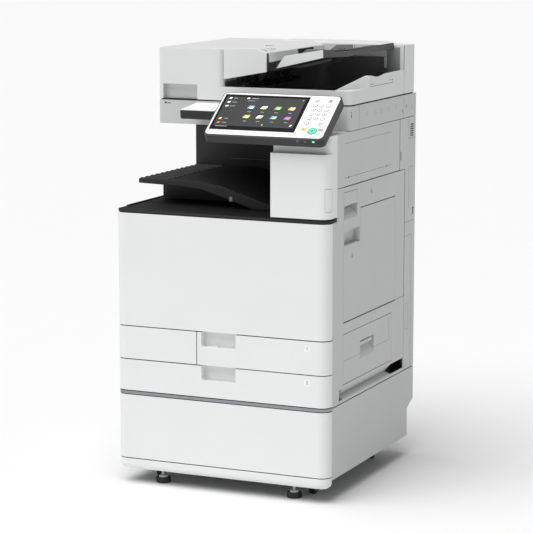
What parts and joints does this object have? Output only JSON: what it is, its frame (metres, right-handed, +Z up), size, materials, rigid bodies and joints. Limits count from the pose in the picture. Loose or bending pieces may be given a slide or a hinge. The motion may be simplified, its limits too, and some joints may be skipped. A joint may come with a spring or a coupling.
{
  "type": "floor-standing photocopier",
  "caption": "Floor-standing colour photocopier on a cabinet pedestal, with opening doors, drawers, document feeder and keys",
  "frame": {"origin": "on the floor, under the middle of the whole outline", "axes": "+Z up, the front faces -Y, +X is the operator's right hand as they face the machine"},
  "size_m": [0.62, 0.6804, 1.182],
  "materials": {
    "front_plastic": "smooth satin moulding",
    "side_plastic": "finely textured moulding",
    "panel_plastic": "satin face with a dark edge",
    "black_plastic": "finely textured moulding",
    "dark_plastic": "satin",
    "foot_plastic": "matt",
    "frame_steel": "plain sheet",
    "caster_steel": "satin",
    "screw_steel": "plain",
    "caster_rubber": "matt",
    "roller_rubber": "matt",
    "pad_foam": "soft white sheet",
    "platen_glass": "clear",
    "screen_glass": "gloss",
    "key_rubber": "matt light grey",
    "key_plastic": "satin",
    "start_plastic": "satin",
    "clear_plastic": "satin",
    "stop_plastic": "satin",
    "toner_plastic": "satin"
  },
  "bodies": {
    "chassis": {"column_cover": "front_plastic", "cover_screws": "screw_steel", "drum_units": "dark_plastic", "fixing_unit": "dark_plastic", "laser_unit": "dark_plastic", "left_cover": "side_plastic", "leveling_feet": "foot_plastic", "main_frame": "frame_steel", "output_bay_wall": "black_plastic", "output_tray": "black_plastic", "pedestal_cover": "side_plastic", "pedestal_frame": "frame_steel", "pedestal_front_panel": "front_plastic", "pedestal_kick_strip": "front_plastic", "platen_glass": "platen_glass", "power_inlet": "black_plastic", "power_supply": "dark_plastic", "reader_housing": "side_plastic", "rear_cover": "side_plastic", "right_frame_cover": "side_plastic", "right_upper_cover": "side_plastic", "side_shelf": "front_plastic", "toner_bottles": "toner_plastic", "transfer_belt_unit": "dark_plastic", "upper_output_tray": "black_plastic"},
    "flap": {"power_switch_flap": "front_plastic"},
    "front_door": {"front_door": "front_plastic"},
    "waste_door": {"waste_toner_door": "front_plastic"},
    "upper_drawer": {"upper_cassette": "front_plastic"},
    "lower_drawer": {"lower_cassette": "front_plastic"},
    "jam_door": {"right_door": "side_plastic"},
    "lever": {"right_door_lever": "side_plastic"},
    "bypass": {"bypass_tray": "side_plastic"},
    "lower_door": {"lower_right_door": "side_plastic"},
    "carriage": {"scan_carriage": "black_plastic"},
    "feeder": {"feeder_body": "front_plastic", "platen_pad": "pad_foam"},
    "feeder_lid": {"feeder_cover": "front_plastic"},
    "roller": {"feed_roller": "roller_rubber"},
    "doc_tray": {"document_tray": "black_plastic"},
    "guide_front": {"document_guide_front": "black_plastic"},
    "guide_rear": {"document_guide_rear": "black_plastic"},
    "panel": {"control_panel": "panel_plastic", "touch_screen": "screen_glass"},
    "number_keypad_body": {"number_keypad": "key_rubber"},
    "counter_key_body": {"counter_key": "key_plastic"},
    "sleep_key_body": {"sleep_key": "key_plastic"},
    "reset_key_body": {"reset_key": "key_plastic"},
    "settings_key_body": {"settings_key": "key_plastic"},
    "start_key_body": {"start_key": "start_plastic"},
    "clear_key_body": {"clear_key": "clear_plastic"},
    "stop_key_body": {"stop_key": "stop_plastic"},
    "fork_front_left": {"caster_fork_front_left": "caster_steel"},
    "wheel_front_left": {"caster_wheel_front_left": "caster_rubber"},
    "fork_front_right": {"caster_fork_front_right": "caster_steel"},
    "wheel_front_right": {"caster_wheel_front_right": "caster_rubber"},
    "fork_rear_left": {"caster_fork_rear_left": "caster_steel"},
    "wheel_rear_left": {"caster_wheel_rear_left": "caster_rubber"},
    "fork_rear_right": {"caster_fork_rear_right": "caster_steel"},
    "wheel_rear_right": {"caster_wheel_rear_right": "caster_rubber"}
  },
  "joints": [
    {"name": "power_flap_hinge", "type": "hinge", "parent": "chassis", "child": "flap", "pos_m": [0.31, -0.2728, 0.806], "axis": [0, 0, 1], "range_deg": [0, 90]},
    {"name": "front_door_hinge", "type": "hinge", "parent": "chassis", "child": "front_door", "pos_m": [0, -0.2998, 0.438], "axis": [1, 0, 0], "range_deg": [0, 90]},
    {"name": "waste_door_hinge", "type": "hinge", "parent": "chassis", "child": "waste_door", "pos_m": [-0.31, -0.2998, 0.391], "axis": [0, 0, -1], "range_deg": [0, 90]},
    {"name": "upper_cassette_slide", "type": "slide", "parent": "chassis", "child": "upper_drawer", "axis": [0, -1, 0], "range_m": [0, 0.42]},
    {"name": "lower_cassette_slide", "type": "slide", "parent": "chassis", "child": "lower_drawer", "axis": [0, -1, 0], "range_m": [0, 0.42]},
    {"name": "jam_door_hinge", "type": "hinge", "parent": "chassis", "child": "jam_door", "pos_m": [0.31, 0.2552, 0.65], "axis": [0, 0, 1], "range_deg": [0, 80]},
    {"name": "jam_door_lever_hinge", "type": "hinge", "parent": "jam_door", "child": "lever", "pos_m": [0.31, -0.1438, 0.815], "axis": [0, -1, 0], "range_deg": [0, 30], "stiffness_Nm_per_rad": 0.5, "springref_deg": -17.19},
    {"name": "bypass_tray_hinge", "type": "hinge", "parent": "jam_door", "child": "bypass", "pos_m": [0.31, 0, 0.471], "axis": [0, 1, 0], "range_deg": [0, 65]},
    {"name": "lower_door_hinge", "type": "hinge", "parent": "chassis", "child": "lower_door", "pos_m": [0.31, -0.015, 0.304], "axis": [0, 1, 0], "range_deg": [0, 90]},
    {"name": "scan_carriage_slide", "type": "slide", "parent": "chassis", "child": "carriage", "axis": [1, 0, 0], "range_m": [0, 0.43]},
    {"name": "feeder_hinge", "type": "hinge", "parent": "chassis", "child": "feeder", "pos_m": [0.029, 0.3222, 1.041], "axis": [-1, 0, 0], "range_deg": [0, 70]},
    {"name": "feeder_cover_hinge", "type": "hinge", "parent": "feeder", "child": "feeder_lid", "pos_m": [-0.251, 0.05, 1.167], "axis": [0, -1, 0], "range_deg": [0, 75]},
    {"name": "feed_roller_spin", "type": "hinge", "parent": "feeder", "child": "roller", "pos_m": [-0.006, 0.05, 1.079], "axis": [0, 1, 0], "continuous": true},
    {"name": "document_tray_hinge", "type": "hinge", "parent": "feeder", "child": "doc_tray", "pos_m": [0.078, 0.05, 1.126], "axis": [0, -1, 0], "range_deg": [0, 38]},
    {"name": "document_guide_front_slide", "type": "slide", "parent": "doc_tray", "child": "guide_front", "axis": [0, 1, 0], "range_m": [0, 0.07]},
    {"name": "document_guide_rear_slide", "type": "slide", "parent": "doc_tray", "child": "guide_rear", "axis": [0, -1, 0], "range_m": [0, 0.07]},
    {"name": "panel_tilt", "type": "hinge", "parent": "chassis", "child": "panel", "pos_m": [0.232, -0.2198, 1.0047], "axis": [1, 0, 0], "range_deg": [-25, 5]},
    {"name": "number_keypad_press", "type": "slide", "parent": "panel", "child": "number_keypad_body", "axis": [0, 0.5878, -0.809], "range_m": [0, 0.0012], "stiffness_N_per_m": 400, "springref_m": -0.001},
    {"name": "counter_key_press", "type": "slide", "parent": "panel", "child": "counter_key_body", "axis": [0, 0.5878, -0.809], "range_m": [0, 0.0012], "stiffness_N_per_m": 400, "springref_m": -0.001},
    {"name": "sleep_key_press", "type": "slide", "parent": "panel", "child": "sleep_key_body", "axis": [0, 0.5878, -0.809], "range_m": [0, 0.0012], "stiffness_N_per_m": 400, "springref_m": -0.001},
    {"name": "reset_key_press", "type": "slide", "parent": "panel", "child": "reset_key_body", "axis": [0, 0.5878, -0.809], "range_m": [0, 0.0012], "stiffness_N_per_m": 400, "springref_m": -0.001},
    {"name": "settings_key_press", "type": "slide", "parent": "panel", "child": "settings_key_body", "axis": [0, 0.5878, -0.809], "range_m": [0, 0.0012], "stiffness_N_per_m": 400, "springref_m": -0.001},
    {"name": "start_key_press", "type": "slide", "parent": "panel", "child": "start_key_body", "axis": [0, 0.5878, -0.809], "range_m": [0, 0.0012], "stiffness_N_per_m": 400, "springref_m": -0.001},
    {"name": "clear_key_press", "type": "slide", "parent": "panel", "child": "clear_key_body", "axis": [0, 0.5878, -0.809], "range_m": [0, 0.0012], "stiffness_N_per_m": 400, "springref_m": -0.001},
    {"name": "stop_key_press", "type": "slide", "parent": "panel", "child": "stop_key_body", "axis": [0, 0.5878, -0.809], "range_m": [0, 0.0012], "stiffness_N_per_m": 400, "springref_m": -0.001},
    {"name": "swivel_front_left", "type": "hinge", "parent": "chassis", "child": "fork_front_left", "pos_m": [-0.228, -0.2048, 0.05], "axis": [0, 0, 1], "continuous": true},
    {"name": "wheel_front_left_spin", "type": "hinge", "parent": "fork_front_left", "child": "wheel_front_left", "pos_m": [-0.228, -0.1948, 0.018], "axis": [1, 0, 0], "continuous": true},
    {"name": "swivel_front_right", "type": "hinge", "parent": "chassis", "child": "fork_front_right", "pos_m": [0.228, -0.2048, 0.05], "axis": [0, 0, 1], "continuous": true},
    {"name": "wheel_front_right_spin", "type": "hinge", "parent": "fork_front_right", "child": "wheel_front_right", "pos_m": [0.228, -0.1948, 0.018], "axis": [1, 0, 0], "continuous": true},
    {"name": "swivel_rear_left", "type": "hinge", "parent": "chassis", "child": "fork_rear_left", "pos_m": [-0.228, 0.2152, 0.05], "axis": [0, 0, 1], "continuous": true},
    {"name": "wheel_rear_left_spin", "type": "hinge", "parent": "fork_rear_left", "child": "wheel_rear_left", "pos_m": [-0.228, 0.2252, 0.018], "axis": [1, 0, 0], "continuous": true},
    {"name": "swivel_rear_right", "type": "hinge", "parent": "chassis", "child": "fork_rear_right", "pos_m": [0.228, 0.2152, 0.05], "axis": [0, 0, 1], "continuous": true},
    {"name": "wheel_rear_right_spin", "type": "hinge", "parent": "fork_rear_right", "child": "wheel_rear_right", "pos_m": [0.228, 0.2252, 0.018], "axis": [1, 0, 0], "continuous": true}
  ],
  "couplings": [
    {"joint": "document_guide_rear_slide", "follows": "document_guide_front_slide", "ratio": 1}
  ]
}
